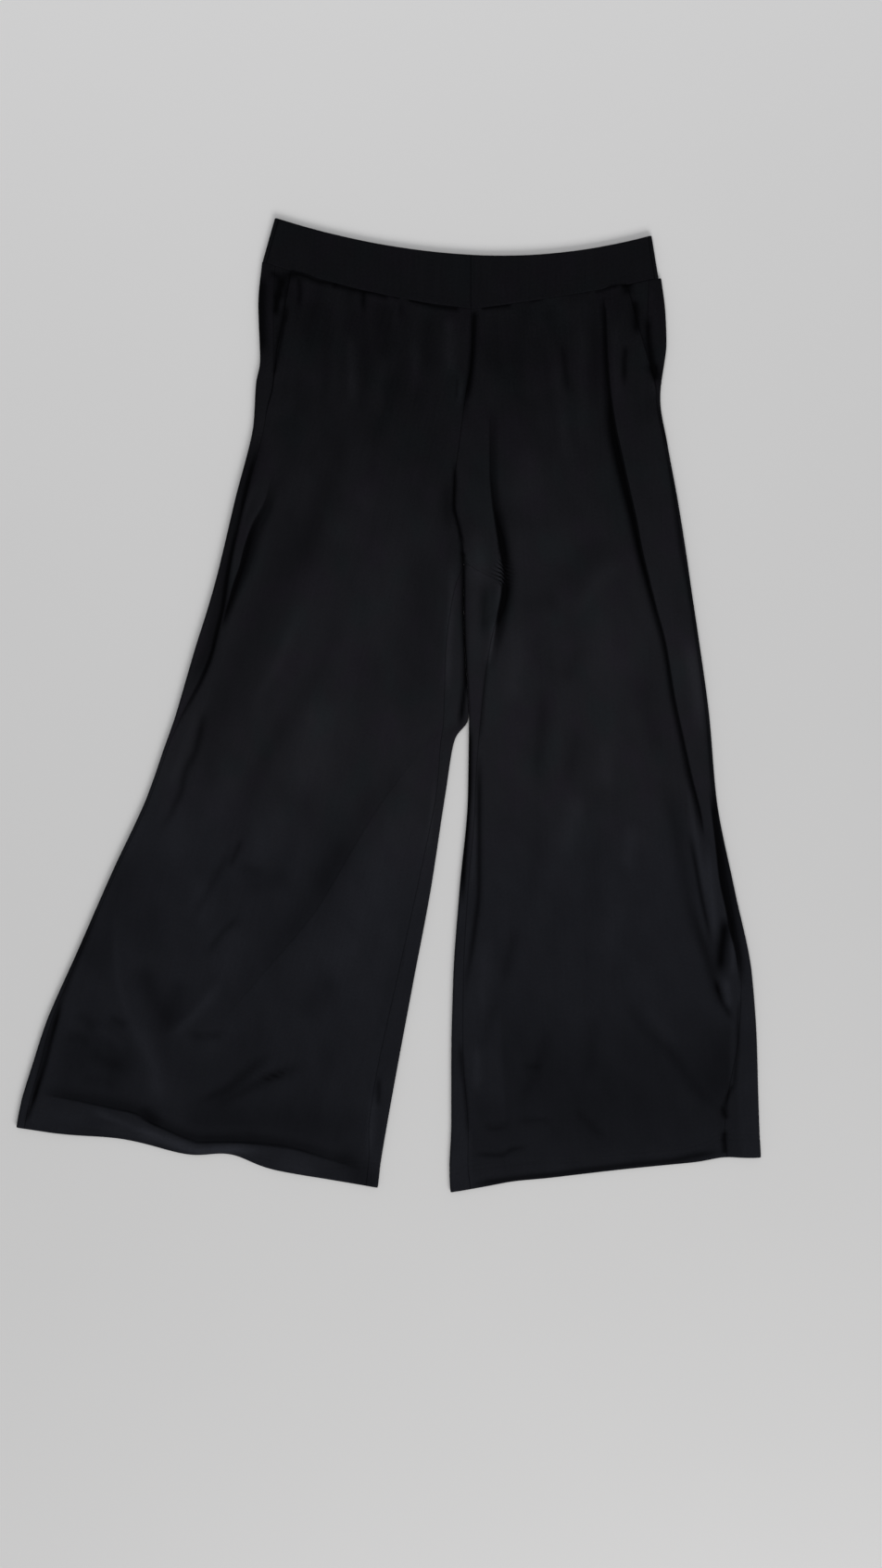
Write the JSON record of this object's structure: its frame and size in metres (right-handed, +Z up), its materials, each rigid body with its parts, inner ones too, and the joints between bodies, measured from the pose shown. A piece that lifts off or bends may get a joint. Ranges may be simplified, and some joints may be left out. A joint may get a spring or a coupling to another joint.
{
  "type": "palazzo trousers",
  "caption": "Wide-leg pull-on trousers in black jersey with a contoured waistband and slanted pockets, laid flat with the front up.",
  "frame": {"origin": "middle of the bounding box, on the surface that the trousers lie on", "axes": "+Y from the hems to the waist, +Z up from the surface, +X to the wearer's left leg, which is on the viewer's right"},
  "size_m": [0.8028, 1.0498, 0.0133],
  "materials": {
    "jersey": "matt black jersey with a faint sheen",
    "waistband": "matt black jersey over elastic",
    "pocket_facing": "matt black jersey"
  },
  "bodies": {
    "root": {"front_right": "jersey", "front_left": "jersey", "back_right": "jersey", "back_left": "jersey", "waistband_front_right": "waistband", "waistband_front_left": "waistband", "waistband_back": "waistband", "pocket_facing_right": "pocket_facing", "pocket_facing_left": "pocket_facing"}
  },
  "joints": []
}
